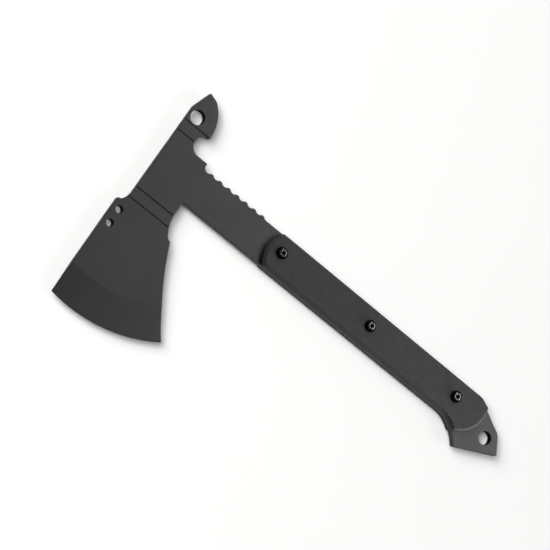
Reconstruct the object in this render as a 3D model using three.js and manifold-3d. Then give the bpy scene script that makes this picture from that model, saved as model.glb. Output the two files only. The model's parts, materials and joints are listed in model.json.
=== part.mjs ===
// Full-tang hatchet with a spiked-beak head, a bearded blade, two grip scales and three
// through-bolted fasteners. Millimetres, +Z up, lying on its side.
//
// Drawing frame: X runs from the poll towards the pommel, Y = 0 is the line of the grip
// screws, +Y points to the beak, -Y to the cutting edge, and Z = 0 is the plate's middle plane.
// The exported group is shifted so that the origin is the bottom centre of the bounding box.

import * as THREE from 'three';
import { mergeVertices } from 'three/addons/utils/BufferGeometryUtils.js';
import Module from 'manifold-3d';

const wasm = await Module();
wasm.setup();

// ---- Driving dimensions -------------------------------------------------------------

const PLATE_THICKNESS = 6.35;
const SCALE_THICKNESS = 4.2;
const FACE_GAP = 0.2;            // play between parts that lie face to face
const ROUND_GAP = 0.3;           // radial play between a shank or sleeve and its hole
const SCALE_CHAMFER = 1.6;

// Blade: the edge and the grind line are arcs about one centre.
const EDGE_CENTRE = [11.95, -4.15];
const EDGE_RADIUS = 124.15;
const GRIND_WIDTH = 26;
const EDGE_LAND = 0.3;           // thickness left at the cutting edge
const GRIND_BLOCK_TOP_Y = -70;   // nothing above this height is ground
const HORN_BACK_X = -6.6;
const TOE_BACK_X = -6;
const HORN_TOP_Y = -42.9;
const HORN_RADIUS = 0.9;
const BACK_FILLET_RADIUS = 14;
const BACK_FILLET_START_Y = -32.4;
const OUTLINE_REACH_Y = -134;    // past the toe, where the grind trims the outline
const HEEL = [84, -110.2];       // a little past the edge, trimmed too
const BEARD_SAG = 3;
const TOOTH = [43.6, -45];
const TOOTH_ROOT = [39.3, -42.1];
const TOOTH_SAG = 0.7;
const CUSP_LOW = [38.9, -41.4];
const CUSP_SAG = 1;
const CUSP_START = [34.5, -26.5];
const CROTCH = [34.45, -15.9];

// Beak, hook notch and jimping.
const POLL_TOP_Y = 46.4;
const BEAK_TIP = [5.1, 61.7];
const BEAK_SHOULDER = [12.3, 59.3];
const BEAK_SAG = 2.7;
const HOOK_BACK = [23.6, 37];
const NOTCH_CENTRE = [23.55, 26.05];
const NOTCH_RADIUS = 7.8;
const NOTCH_OPENING = 96;        // degrees, where the notch arc leaves the beak
const SPUR = [[32.6, 18.25], [33.2, 17.75]];
const JIMP_TOP_Y = 14.5;
const JIMP_RADIUS = 3.7;
const JIMP_FIRST_X = 36.6;
const JIMP_PITCH = 8.13;
const JIMP_COUNT = 8;

// Tang and pommel.
const NECK_TOP_Y = 13;           // also the floor of every scallop
const GRIP_TOP_REAR_Y = 11.8;
const GRIP_TOP_TAPER_X = 110;
const GRIP_BOTTOM_Y = -15.9;
const CLIP_START = [309.6, 11.8];
const CLIP_END = [336.2, -2.4];
const CLIP_ROUNDING = 4;         // length of each side taken up by the rounding
const CLIP_CORNER = [[334.9, -1.7], [336.7, -3.5]];
const POMMEL_TIP = [344.1, -16];
const POMMEL_HEEL = [310.8, -31.1];
const HOOK_START_X = 285;
const HOOK_HANDLES = [[295, -15.9], [303, -21.5]];

// Holes through the plate: [x, y, radius].
const BEAK_HOLE = [7.1, 41, 5.65];
const LANYARD_HOLE = [328.5, -10.8, 5.2];
const BLADE_HOLES = [[-0.8, -49.9, 2.85], [-0.8, -62, 2.85]];

// Engraved lines across both cheeks: [height on the head, width].
const GROOVES = [[34.2, 1], [24.8, 1], [-28.5, 1.3], [-37.7, 1.3]];
const GROOVE_FLOOR_SHARE = 0.6;  // the floor's width over the mouth's
const GROOVE_DEPTH = 0.6;
const GROOVE_REACH_X = [-12, 40];

// Scales: both ends are arcs.
const SCALE_FRONT_CENTRE = [125.4, -1.4];
const SCALE_FRONT_RADIUS = 21.5;
const SCALE_REAR_CENTRE = [293.8, 0.6];
const SCALE_REAR_RADIUS = 24.4;

// Fasteners: a threaded sleeve through the tang takes a button-head screw from each side.
const SCREWS = [[115.8, 0], [203.1, -0.6], [289.6, -1.2]];
const SLEEVE_RADIUS = 3.9;
const SLEEVE_LENGTH = 12.4;
const SHANK_RADIUS = 2.35;
const SHANK_REACH_Z = 1;         // how near the middle plane a shank's end comes
const SHANK_CHAMFER = 0.4;
const HEAD_RADIUS = 4.55;
const HEAD_HEIGHT = 2.75;
const HEAD_RIM = 0.5;
const HEAD_FLAT_RADIUS = 2.55;   // the flat ring around the socket
const SOCKET_MEAN_RADIUS = 1.62;
const SOCKET_LOBE = 0.3;
const SOCKET_DEPTH = 1.6;

const ARC_STEPS = 14;
const HOLE_STEPS = 40;
const GRIND_STEPS = 240;
const SCREW_STEPS = 24;
const DOME_STEPS = 4;
const SOCKET_STEPS = 36;
const HALVINGS = 30;             // steps of a search along a curve
const OVERCUT = 0.5;             // how far a cutter stands clear of the face it opens

// ---- Materials ----------------------------------------------------------------------

const coatedSteel = () => new THREE.MeshStandardMaterial({ color: 0x303133, roughness: 0.55, metalness: 0.6 });
const gripLaminate = () => new THREE.MeshStandardMaterial({ color: 0x2a2b2d, roughness: 0.75, metalness: 0 });
const blackOxide = () => new THREE.MeshStandardMaterial({ color: 0x0b0b0c, roughness: 0.2, metalness: 0.9 });
const plainSteel = () => new THREE.MeshStandardMaterial({ color: 0x77797c, roughness: 0.4, metalness: 0.9 });

// ---- Helpers ------------------------------------------------------------------------

const radians = (degrees) => degrees * Math.PI / 180;
const point = ([x, y]) => new THREE.Vector2(x, y);

// Points on a circular arc, from one angle to another, in degrees.
function arc([cx, cy], radius, fromDegrees, toDegrees, steps = ARC_STEPS) {
  const points = [];
  for (let i = 0; i <= steps; i += 1) {
    const angle = radians(fromDegrees + (toDegrees - fromDegrees) * i / steps);
    points.push(new THREE.Vector2(cx + radius * Math.cos(angle), cy + radius * Math.sin(angle)));
  }
  return points;
}

// Points on the arc from a to b that bulges by sag to the left of the way from a to b.
function bulge(a, b, sag, steps = ARC_STEPS) {
  const start = point(a);
  const chord = point(b).sub(start);
  const half = chord.length() / 2;
  const radius = (half * half + sag * sag) / (2 * Math.abs(sag));
  const left = new THREE.Vector2(-chord.y, chord.x).normalize().multiplyScalar(Math.sign(sag));
  const centre = start.clone().addScaledVector(chord, 0.5).addScaledVector(left, Math.abs(sag) - radius);
  const from = start.clone().sub(centre).angle();
  const sweep = 2 * Math.asin(half / radius) * -Math.sign(sag);
  const points = [];
  for (let i = 0; i <= steps; i += 1) {
    const angle = from + sweep * i / steps;
    points.push(new THREE.Vector2(centre.x + radius * Math.cos(angle), centre.y + radius * Math.sin(angle)));
  }
  return points;
}

// A geometry as a solid for boolean work.
function solid(geometry) {
  const plain = geometry.clone();
  plain.deleteAttribute('normal');
  plain.deleteAttribute('uv');
  const merged = mergeVertices(plain, 1e-4);
  return new wasm.Manifold(new wasm.Mesh({
    numProp: 3,
    vertProperties: new Float32Array(merged.attributes.position.array),
    triVerts: new Uint32Array(merged.index.array),
  }));
}

function toGeometry(manifold) {
  const mesh = manifold.getMesh();
  const geometry = new THREE.BufferGeometry();
  geometry.setAttribute('position', new THREE.BufferAttribute(new Float32Array(mesh.vertProperties), 3));
  geometry.setIndex(new THREE.BufferAttribute(new Uint32Array(mesh.triVerts), 1));
  geometry.computeVertexNormals();
  return geometry;
}

// A flat prism of an outline, from one height to another.
function prism(points, bottom, top) {
  const geometry = new THREE.ExtrudeGeometry(new THREE.Shape(points), { depth: top - bottom, bevelEnabled: false });
  return geometry.translate(0, 0, bottom);
}

// A turned solid about the Z axis from [radius, height] pairs.
function turned(profile, steps) {
  const points = profile.map(([radius, height]) => new THREE.Vector2(radius, height));
  return new THREE.LatheGeometry(points, steps).rotateX(Math.PI / 2);
}

function piece(name, geometry, material) {
  const mesh = new THREE.Mesh(geometry, material);
  mesh.name = name;
  return mesh;
}

// ---- Steel plate --------------------------------------------------------------------

const HALF_PLATE = PLATE_THICKNESS / 2;
const hookCurve = new THREE.CubicBezierCurve(
  new THREE.Vector2(HOOK_START_X, GRIP_BOTTOM_Y),
  point(HOOK_HANDLES[0]),
  point(HOOK_HANDLES[1]),
  point(POMMEL_HEEL),
);

// The scalloped thumb grip: the first scallop starts at the spur, the last ends on the neck.
function jimping() {
  const centreY = NECK_TOP_Y + JIMP_RADIUS;
  const flank = THREE.MathUtils.radToDeg(Math.asin((centreY - JIMP_TOP_Y) / JIMP_RADIUS));
  const points = [];
  for (let i = 0; i < JIMP_COUNT; i += 1) {
    const from = i === 0 ? 180 : 180 + flank;
    const to = i === JIMP_COUNT - 1 ? 270 : 360 - flank;
    points.push(...arc([JIMP_FIRST_X + i * JIMP_PITCH, centreY], JIMP_RADIUS, from, to, 8));
  }
  return points;
}

function plateOutline() {
  const notchY = NOTCH_CENTRE[1];
  return [
    // Poll and beak.
    new THREE.Vector2(0, BACK_FILLET_START_Y),
    new THREE.Vector2(0, POLL_TOP_Y),
    point(BEAK_TIP),
    ...bulge(BEAK_SHOULDER, HOOK_BACK, BEAK_SAG),
    // Hook notch, the flat below it and the spur.
    new THREE.Vector2(HOOK_BACK[0], notchY + NOTCH_RADIUS),
    ...arc(NOTCH_CENTRE, NOTCH_RADIUS, NOTCH_OPENING, 270, 20),
    ...SPUR.map(point),
    ...jimping(),
    // Grip and clipped corner.
    new THREE.Vector2(GRIP_TOP_TAPER_X, NECK_TOP_Y),
    ...clipRounding(),
    ...CLIP_CORNER.map(point),
    point(POMMEL_TIP),
    // Pommel heel and the hooked end of the grip.
    ...hookCurve.getPoints(ARC_STEPS).reverse(),
    // Neck, crotch, tooth and beard.
    point(CROTCH),
    ...bulge(CUSP_START, CUSP_LOW, -CUSP_SAG),
    ...bulge(TOOTH_ROOT, TOOTH, -TOOTH_SAG, 5),
    ...bulge(TOOTH, HEEL, -BEARD_SAG),
    // Past the toe: the grind trims this side to the cutting edge.
    new THREE.Vector2(HEEL[0], OUTLINE_REACH_Y),
    new THREE.Vector2(TOE_BACK_X, OUTLINE_REACH_Y),
    // Blade back, horn and fillet.
    ...arc([HORN_BACK_X + HORN_RADIUS, HORN_TOP_Y - HORN_RADIUS], HORN_RADIUS, 180, 85, 5),
    ...backFillet(),
  ];
}

// The rounded start of the clipped corner.
function clipRounding() {
  const before = new THREE.Vector2(CLIP_START[0] - CLIP_ROUNDING, GRIP_TOP_REAR_Y);
  const slope = point(CLIP_END).sub(point(CLIP_START)).normalize();
  const after = point(CLIP_START).addScaledVector(slope, CLIP_ROUNDING);
  return new THREE.QuadraticBezierCurve(before, point(CLIP_START), after).getPoints(6);
}

// The concave fillet from the horn up to the poll.
function backFillet() {
  const centre = [-BACK_FILLET_RADIUS, BACK_FILLET_START_Y];
  const drop = BACK_FILLET_START_Y - HORN_TOP_Y;
  const end = THREE.MathUtils.radToDeg(Math.asin(drop / BACK_FILLET_RADIUS));
  return arc(centre, BACK_FILLET_RADIUS, -end, -1, 10);
}

// Everything outside the ground bevels, below the blade's flat.
function grindCutter() {
  const [cx, cy] = EDGE_CENTRE;
  const slope = (HALF_PLATE - EDGE_LAND / 2) / GRIND_WIDTH;
  const clear = 1.5;               // the lens runs this far beyond the plate's faces
  const innerRadius = EDGE_RADIUS - GRIND_WIDTH - clear / slope;
  const lens = turned([
    [0, -HALF_PLATE - clear],
    [innerRadius, -HALF_PLATE - clear],
    [EDGE_RADIUS, -EDGE_LAND / 2],
    [EDGE_RADIUS, EDGE_LAND / 2],
    [innerRadius, HALF_PLATE + clear],
    [0, HALF_PLATE + clear],
  ], GRIND_STEPS).translate(cx, cy, 0);
  const depth = GRIND_BLOCK_TOP_Y - OUTLINE_REACH_Y + 1;
  const block = new THREE.BoxGeometry(2 * EDGE_RADIUS, depth, PLATE_THICKNESS + 1)
    .translate(cx, GRIND_BLOCK_TOP_Y - depth / 2, 0);
  return solid(block).subtract(solid(lens));
}

function hole([x, y, radius], height, steps = HOLE_STEPS) {
  const geometry = new THREE.CylinderGeometry(radius, radius, height, steps).rotateX(Math.PI / 2);
  return solid(geometry.translate(x, y, 0));
}

// A tapered engraved line across one cheek: side is +1 for the front, -1 for the back.
function groove(y, width, side) {
  const mouth = width / 2;
  const floor = mouth * GROOVE_FLOOR_SHARE;
  const flare = mouth + (mouth - floor) * OVERCUT / GROOVE_DEPTH;
  const section = [
    new THREE.Vector2(-floor, -GROOVE_DEPTH),
    new THREE.Vector2(floor, -GROOVE_DEPTH),
    new THREE.Vector2(flare, OVERCUT),
    new THREE.Vector2(-flare, OVERCUT),
  ];
  const [from, to] = GROOVE_REACH_X;
  const geometry = prism(section, from, to).rotateX(Math.PI / 2).rotateZ(Math.PI / 2);
  if (side < 0) geometry.rotateX(Math.PI);
  return solid(geometry.translate(0, y, side * HALF_PLATE));
}

function steelPlate() {
  let body = solid(prism(plateOutline(), -HALF_PLATE, HALF_PLATE));
  body = body.subtract(grindCutter());
  const throughHoles = [BEAK_HOLE, LANYARD_HOLE, ...BLADE_HOLES];
  SCREWS.forEach(([x, y]) => throughHoles.push([x, y, SLEEVE_RADIUS + ROUND_GAP]));
  throughHoles.forEach((spec) => { body = body.subtract(hole(spec, PLATE_THICKNESS + 2)); });
  GROOVES.forEach(([y, width]) => {
    body = body.subtract(groove(y, width, 1));
    body = body.subtract(groove(y, width, -1));
  });
  return toGeometry(body);
}

// ---- Scales -------------------------------------------------------------------------

const SCALE_INNER_Z = HALF_PLATE + FACE_GAP;
const SCALE_OUTER_Z = SCALE_INNER_Z + SCALE_THICKNESS;

// The part of the hooked curve that lies inside the scale's rear arc.
function hookUnderScale() {
  const centre = point(SCALE_REAR_CENTRE);
  let inside = 0;
  let outside = 1;
  for (let i = 0; i < HALVINGS; i += 1) {
    const middle = (inside + outside) / 2;
    if (hookCurve.getPoint(middle).distanceTo(centre) < SCALE_REAR_RADIUS) inside = middle;
    else outside = middle;
  }
  const points = [];
  for (let i = 0; i <= 8; i += 1) points.push(hookCurve.getPoint(inside * i / 8));
  return points;
}

function scaleOutline() {
  const degrees = THREE.MathUtils.radToDeg;
  const [frontX, frontY] = SCALE_FRONT_CENTRE;
  const frontTop = degrees(Math.asin((NECK_TOP_Y - frontY) / SCALE_FRONT_RADIUS));
  const frontBottom = degrees(Math.asin((frontY - GRIP_BOTTOM_Y) / SCALE_FRONT_RADIUS));
  const hook = hookUnderScale();
  const rear = point(SCALE_REAR_CENTRE);
  const rearFrom = degrees(hook[hook.length - 1].clone().sub(rear).angle()) - 360;
  const clip = clipRounding();
  const clipEnd = clipAtRearArc();
  const rearTo = degrees(clipEnd.clone().sub(rear).angle());
  return [
    ...arc([frontX, frontY], SCALE_FRONT_RADIUS, 180 - frontTop, 180 + frontBottom, 16),
    ...hook,
    ...arc(SCALE_REAR_CENTRE, SCALE_REAR_RADIUS, rearFrom, rearTo, 18).slice(1),
    ...clip.reverse(),
  ];
}

// Where the clipped corner's straight side meets the scale's rear arc.
function clipAtRearArc() {
  const start = point(CLIP_START);
  const slope = point(CLIP_END).sub(start).normalize();
  const toStart = start.clone().sub(point(SCALE_REAR_CENTRE));
  const along = toStart.dot(slope);
  const reach = Math.sqrt(along * along - toStart.lengthSq() + SCALE_REAR_RADIUS ** 2);
  return start.addScaledVector(slope, reach - along);
}

// One scale above the plate: chamfered outside, stepped holes for sleeves and screws.
function scaleAbovePlate() {
  const under = SCALE_CHAMFER + OVERCUT;
  const blank = new THREE.ExtrudeGeometry(new THREE.Shape(scaleOutline()), {
    depth: SCALE_THICKNESS - SCALE_CHAMFER + under,
    bevelThickness: SCALE_CHAMFER,
    bevelSize: SCALE_CHAMFER,
    bevelOffset: -SCALE_CHAMFER,
    bevelSegments: 1,
  }).translate(0, 0, SCALE_INNER_Z - under);
  const whole = solid(blank);
  const below = whole.boundingBox();
  const size = [0, 1, 2].map((axis) => below.max[axis] - below.min[axis] + 2 * OVERCUT);
  const middle = [0, 1].map((axis) => (below.max[axis] + below.min[axis]) / 2);
  const waste = new THREE.BoxGeometry(...size).translate(...middle, SCALE_INNER_Z - size[2] / 2);
  let body = whole.subtract(solid(waste));
  const seat = SLEEVE_LENGTH / 2 + ROUND_GAP;
  const drill = turned([
    [0, 0],
    [SLEEVE_RADIUS + ROUND_GAP, 0],
    [SLEEVE_RADIUS + ROUND_GAP, seat],
    [SHANK_RADIUS + ROUND_GAP, seat],
    [SHANK_RADIUS + ROUND_GAP, SCALE_OUTER_Z + 1],
    [0, SCALE_OUTER_Z + 1],
  ], SCREW_STEPS);
  SCREWS.forEach(([x, y]) => { body = body.subtract(solid(drill.clone().translate(x, y, 0))); });
  return toGeometry(body);
}

// The same piece on the back of the plate: a reflection in the plate's middle plane.
function mirrored(geometry) {
  const copy = geometry.clone().scale(1, 1, -1);
  const index = copy.index.array;
  for (let i = 0; i < index.length; i += 3) [index[i], index[i + 1]] = [index[i + 1], index[i]];
  copy.computeVertexNormals();
  return copy;
}

// ---- Fasteners ----------------------------------------------------------------------

const HEAD_SEAT_Z = SCALE_OUTER_Z + FACE_GAP;

function socketOutline() {
  const points = [];
  for (let i = 0; i < SOCKET_STEPS; i += 1) {
    const angle = 2 * Math.PI * i / SOCKET_STEPS;
    const radius = SOCKET_MEAN_RADIUS + SOCKET_LOBE * Math.cos(6 * angle);
    points.push(new THREE.Vector2(radius * Math.cos(angle), radius * Math.sin(angle)));
  }
  return points;
}

// A button-head screw, head up, at its height above the plate's middle plane.
function buttonScrew() {
  const rise = HEAD_HEIGHT - HEAD_RIM;
  const drop = (HEAD_RADIUS ** 2 - HEAD_FLAT_RADIUS ** 2 - rise ** 2) / (2 * rise);
  const domeRadius = Math.hypot(HEAD_RADIUS, drop);
  const domeCentre = HEAD_SEAT_Z + HEAD_RIM - drop;
  const rimAngle = Math.asin(HEAD_RADIUS / domeRadius);
  const flatAngle = Math.asin(HEAD_FLAT_RADIUS / domeRadius);
  const profile = [
    [0, SHANK_REACH_Z],
    [SHANK_RADIUS - SHANK_CHAMFER, SHANK_REACH_Z],
    [SHANK_RADIUS, SHANK_REACH_Z + SHANK_CHAMFER],
    [SHANK_RADIUS, HEAD_SEAT_Z],
    [HEAD_RADIUS, HEAD_SEAT_Z],
  ];
  for (let i = 0; i <= DOME_STEPS; i += 1) {
    const angle = THREE.MathUtils.lerp(rimAngle, flatAngle, i / DOME_STEPS);
    profile.push([domeRadius * Math.sin(angle), domeCentre + domeRadius * Math.cos(angle)]);
  }
  const head = HEAD_SEAT_Z + HEAD_HEIGHT;
  profile.push([0, head]);
  const socket = prism(socketOutline(), head - SOCKET_DEPTH, head + 1);
  return toGeometry(solid(turned(profile, SCREW_STEPS)).subtract(solid(socket)));
}

function threadedSleeve() {
  const half = SLEEVE_LENGTH / 2;
  const bore = SHANK_RADIUS + ROUND_GAP;
  return turned([
    [bore, -half],
    [SLEEVE_RADIUS, -half],
    [SLEEVE_RADIUS, half],
    [bore, half],
    [bore, -half],
  ], SCREW_STEPS);
}

// ---- Assembly -----------------------------------------------------------------------

const hatchet = new THREE.Group();
hatchet.name = 'hatchet';
hatchet.add(piece('steel_plate', steelPlate(), coatedSteel()));

const frontScale = scaleAbovePlate();
hatchet.add(piece('front_scale', frontScale, gripLaminate()));
hatchet.add(piece('back_scale', mirrored(frontScale), gripLaminate()));

const frontScrew = buttonScrew();
const backScrew = mirrored(frontScrew);
const sleeve = toGeometry(solid(threadedSleeve()));
SCREWS.forEach(([x, y], i) => {
  const place = i + 1;
  const parts = [
    piece(`tang_sleeve_${place}`, sleeve.clone(), plainSteel()),
    piece(`front_screw_${place}`, frontScrew.clone(), blackOxide()),
    piece(`back_screw_${place}`, backScrew.clone(), blackOxide()),
  ];
  parts.forEach((part) => {
    part.position.set(x, y, 0);
    hatchet.add(part);
  });
});

// Shift to the bottom centre of the bounding box.
const halfHeight = HEAD_SEAT_Z + HEAD_HEIGHT;
const lowestY = EDGE_CENTRE[1] - EDGE_RADIUS;
hatchet.position.set(
  -(HORN_BACK_X + POMMEL_TIP[0]) / 2,
  -(BEAK_TIP[1] + lowestY) / 2,
  halfHeight,
);

export default hatchet;
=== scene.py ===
import json
import math

import bmesh
import bpy
import numpy as np
from mathutils import Matrix, Vector
from mathutils.geometry import delaunay_2d_cdt

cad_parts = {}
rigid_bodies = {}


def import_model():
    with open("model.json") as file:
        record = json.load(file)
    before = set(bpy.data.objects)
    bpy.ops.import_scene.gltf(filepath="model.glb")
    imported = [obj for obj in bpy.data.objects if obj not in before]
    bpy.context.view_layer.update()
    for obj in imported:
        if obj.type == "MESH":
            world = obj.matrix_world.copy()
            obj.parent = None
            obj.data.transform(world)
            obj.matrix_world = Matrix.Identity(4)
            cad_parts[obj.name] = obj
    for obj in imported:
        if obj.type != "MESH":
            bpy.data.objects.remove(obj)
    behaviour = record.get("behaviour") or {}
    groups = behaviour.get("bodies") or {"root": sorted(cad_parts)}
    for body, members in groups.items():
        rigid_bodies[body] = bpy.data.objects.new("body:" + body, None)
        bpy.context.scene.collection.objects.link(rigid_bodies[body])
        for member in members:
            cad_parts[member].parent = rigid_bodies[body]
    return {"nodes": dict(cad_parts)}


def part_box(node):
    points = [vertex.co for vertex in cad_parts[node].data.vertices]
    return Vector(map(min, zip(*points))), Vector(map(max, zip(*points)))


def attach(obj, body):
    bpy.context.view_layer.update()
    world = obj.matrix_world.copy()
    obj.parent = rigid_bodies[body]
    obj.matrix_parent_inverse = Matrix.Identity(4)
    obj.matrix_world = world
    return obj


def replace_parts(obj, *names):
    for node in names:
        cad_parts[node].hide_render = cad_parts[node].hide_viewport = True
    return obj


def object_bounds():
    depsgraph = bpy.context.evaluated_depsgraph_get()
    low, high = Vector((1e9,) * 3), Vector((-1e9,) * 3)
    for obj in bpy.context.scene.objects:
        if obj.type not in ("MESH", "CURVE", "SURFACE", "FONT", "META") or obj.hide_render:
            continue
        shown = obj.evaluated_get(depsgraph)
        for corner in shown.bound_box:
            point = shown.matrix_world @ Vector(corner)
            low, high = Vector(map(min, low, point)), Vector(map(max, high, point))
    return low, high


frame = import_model()
cad_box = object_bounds()

# ---- Driving dimensions ---------------------------------------------------------------
# Outlines are drawn in millimetres in the plate's own plane: X from the poll towards the
# pommel, Y = 0 on the line of the grip screws, +Y to the beak, -Y to the cutting edge.

MM = 0.001

EDGE_CENTRE = (11.95, -4.15)
EDGE_RADIUS = 124.15
GRIND_WIDTH = 26.0
EDGE_LAND = 0.3
GRIND_SOFTNESS = 0.5
GRIND_SWEEP = (250.0, 312.0)
HORN_BACK_X = -6.6
TOE_BACK_X = -6.05
HORN_TOP_Y = -42.9
HORN_RADIUS = 0.9
BACK_FILLET_RADIUS = 14.0
BACK_FILLET_START_Y = -32.4
HEEL = (84.0, -110.2)
BEARD_SAG = 3.0
TOOTH = (43.6, -45.0)
TOOTH_ROOT = (39.3, -42.1)
TOOTH_SAG = 0.7
CUSP_LOW = (38.9, -41.4)
CUSP_SAG = 1.0
CUSP_START = (34.5, -26.5)
CROTCH = (34.45, -15.9)

POLL_TOP_Y = 46.4
BEAK_TIP = (5.1, 61.7)
BEAK_SHOULDER = (12.3, 59.3)
BEAK_SAG = 2.7
HOOK_BACK = (23.6, 37.0)
NOTCH_CENTRE = (23.55, 26.05)
NOTCH_RADIUS = 7.8
NOTCH_OPENING = 96.0
SPUR = ((32.6, 18.25), (33.2, 17.75))
JIMP_TOP_Y = 14.5
JIMP_RADIUS = 3.7
JIMP_FIRST_X = 36.6
JIMP_PITCH = 8.13
JIMP_COUNT = 8

NECK_TOP_Y = 13.0
GRIP_TOP_REAR_Y = 11.8
GRIP_TOP_TAPER_X = 110.0
GRIP_BOTTOM_Y = -15.9
CLIP_START = (309.6, 11.8)
CLIP_END = (336.2, -2.4)
CLIP_ROUNDING = 4.0
CLIP_CORNER = ((334.9, -1.7), (336.7, -3.5))
POMMEL_TIP = (344.1, -16.0)
POMMEL_HEEL = (310.8, -31.1)
HOOK_CURVE = ((285.0, GRIP_BOTTOM_Y), (295.0, -15.9), (303.0, -21.5), POMMEL_HEEL)

BEAK_HOLE = (7.1, 41.0, 5.65)
LANYARD_HOLE = (328.5, -10.8, 5.2)
BLADE_HOLES = ((-0.8, -49.9, 2.85), (-0.8, -62.0, 2.85))

GROOVES = ((34.2, 1.0), (24.8, 1.0), (-28.5, 1.3), (-37.7, 1.3))
GROOVE_FLOOR_SHARE = 0.6
GROOVE_DEPTH = 0.8
GROOVE_REACH_X = (-12.0, 40.0)

SCALE_FRONT_CENTRE = (125.4, -1.4)
SCALE_FRONT_RADIUS = 21.5
SCALE_REAR_CENTRE = (293.8, 0.6)
SCALE_REAR_RADIUS = 24.4
SCALE_CHAMFER_DROP = 1.6
SCALE_CHAMFER_FRONT = 2.4
SCALE_CHAMFER_SIDE = (1.7, 1.3)
SCALE_CHAMFER_REAR = 1.7
SCALE_FRONT_BLEND_X = (108.5, 113.5)
SCALE_REAR_BLEND_X = (303.0, 308.0)
SCALE_CORNER_CUT = 1.1
SCALE_INNER_EASE = 0.12

SCREW_PLACES = (1, 2, 3)
SLEEVE_HOLE_RADIUS = 4.2
SHANK_HOLE_RADIUS = 2.65
SLEEVE_SEAT_Z = 6.5
BORE_STEP = 0.4

HEAD_RADIUS = 4.55
HEAD_LIFT = 0.2
HEAD_RIM = 0.5
HEAD_FLAT_RADIUS = 2.55
# Where the dome's painted dark reflection begins.
DOME_SHADE_INNER_RADIUS = 3.0
SOCKET_MEAN_RADIUS = 1.62
SOCKET_LOBE = 0.3
SOCKET_DEPTH = 1.6
SCREW_TURN = 0.35
SHANK_RADIUS = 2.35
SHANK_POINT_RADII = (1.4, 1.95)
SHANK_POINT_LENGTH = 0.4
SHANK_NECK_LENGTH = 0.3
SHANK_REACH_Z = 1.0
THREAD_PITCH = 0.8
THREAD_DEPTH = 0.35
THREAD_MARGIN = 0.1

PLATE_EDGE = 0.35
PLATE_EDGE_SHARE = 0.35
CORNER_CUT = 0.55
SMALL_CUTS = {BEAK_TIP: 0.2, SPUR[0]: 0.35, SPUR[1]: 0.35}
STEP = 0.7

# ---- Where the drawing lies in the frame ----------------------------------------------

plate_low, plate_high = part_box("steel_plate")
ORIGIN = Vector((
    plate_low.x - HORN_BACK_X * MM,
    plate_high.y - BEAK_TIP[1] * MM,
    (plate_low.z + plate_high.z) / 2,
))
HALF_PLATE = (plate_high.z - plate_low.z) / 2 / MM
scale_low, scale_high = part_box("front_scale")
SCALE_INNER_Z = (scale_low.z - ORIGIN.z) / MM
SCALE_OUTER_Z = (scale_high.z - ORIGIN.z) / MM
HEAD_TOP_Z = (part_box("front_screw_1")[1].z - ORIGIN.z) / MM
HEAD_SEAT_Z = SCALE_OUTER_Z + HEAD_LIFT


def screw_centre(place):
    """The axis of a screw in the drawing, from its node."""
    low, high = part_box(f"front_screw_{place}")
    middle = (low + high) / 2 - ORIGIN
    return middle.x / MM, middle.y / MM


# ---- Outlines -------------------------------------------------------------------------


def arc(centre, radius, start, stop, step=STEP):
    """Points along a circle, from one angle to another in degrees."""
    length = abs(math.radians(stop - start)) * radius
    count = max(6, math.ceil(length / step))
    angles = np.radians(np.linspace(start, stop, count + 1))
    return [(centre[0] + radius * math.cos(a), centre[1] + radius * math.sin(a)) for a in angles]


def bulge(a, b, sag, step=STEP):
    """Points on the arc from a to b that bulges by sag to the left of the way from a to b."""
    start, chord = Vector(a), Vector(b) - Vector(a)
    half = chord.length / 2
    radius = (half * half + sag * sag) / (2 * abs(sag))
    left = Vector((-chord.y, chord.x)).normalized() * math.copysign(1, sag)
    centre = start + chord / 2 + left * (abs(sag) - radius)
    first = math.degrees(math.atan2(start.y - centre.y, start.x - centre.x))
    sweep = math.degrees(2 * math.asin(half / radius)) * -math.copysign(1, sag)
    return arc(centre, radius, first, first + sweep, step)


def cubic(handles, count):
    """Points on a cubic Bezier curve."""
    a, b, c, d = (np.array(h) for h in handles)
    points = []
    for t in np.linspace(0, 1, count + 1):
        u = 1 - t
        points.append(tuple(u**3 * a + 3 * u * u * t * b + 3 * u * t * t * c + t**3 * d))
    return points


def jimping():
    """The scalloped thumb grip, from the spur to the neck."""
    centre_y = NECK_TOP_Y + JIMP_RADIUS
    flank = math.degrees(math.asin((centre_y - JIMP_TOP_Y) / JIMP_RADIUS))
    points = []
    for i in range(JIMP_COUNT):
        start = 180 if i == 0 else 180 + flank
        stop = 270 if i == JIMP_COUNT - 1 else 360 - flank
        points += arc((JIMP_FIRST_X + i * JIMP_PITCH, centre_y), JIMP_RADIUS, start, stop, 0.4)
    return points


def clip_rounding():
    """The rounded start of the pommel's clipped corner."""
    corner = Vector(CLIP_START)
    slope = (Vector(CLIP_END) - corner).normalized()
    before = Vector((corner.x - CLIP_ROUNDING, GRIP_TOP_REAR_Y))
    after = corner + slope * CLIP_ROUNDING
    return cubic((before, before.lerp(corner, 2 / 3), after.lerp(corner, 2 / 3), after), 8)


def back_fillet():
    """The concave fillet from the blade's horn up to the poll."""
    centre = (-BACK_FILLET_RADIUS, BACK_FILLET_START_Y)
    end = math.degrees(math.asin((BACK_FILLET_START_Y - HORN_TOP_Y) / BACK_FILLET_RADIUS))
    return arc(centre, BACK_FILLET_RADIUS, -end, 0)


def beard():
    """The beard's arc from the tooth to the cutting edge."""
    centre = Vector(EDGE_CENTRE)
    points = []
    for p in bulge(TOOTH, HEEL, -BEARD_SAG):
        reach = (Vector(p) - centre).length
        if reach > EDGE_RADIUS:
            last = Vector(points[-1])
            inside = (last - centre).length
            share = (EDGE_RADIUS - inside) / (reach - inside)
            points.append(tuple(last.lerp(Vector(p), share)))
            break
        points.append(p)
    return points


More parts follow.
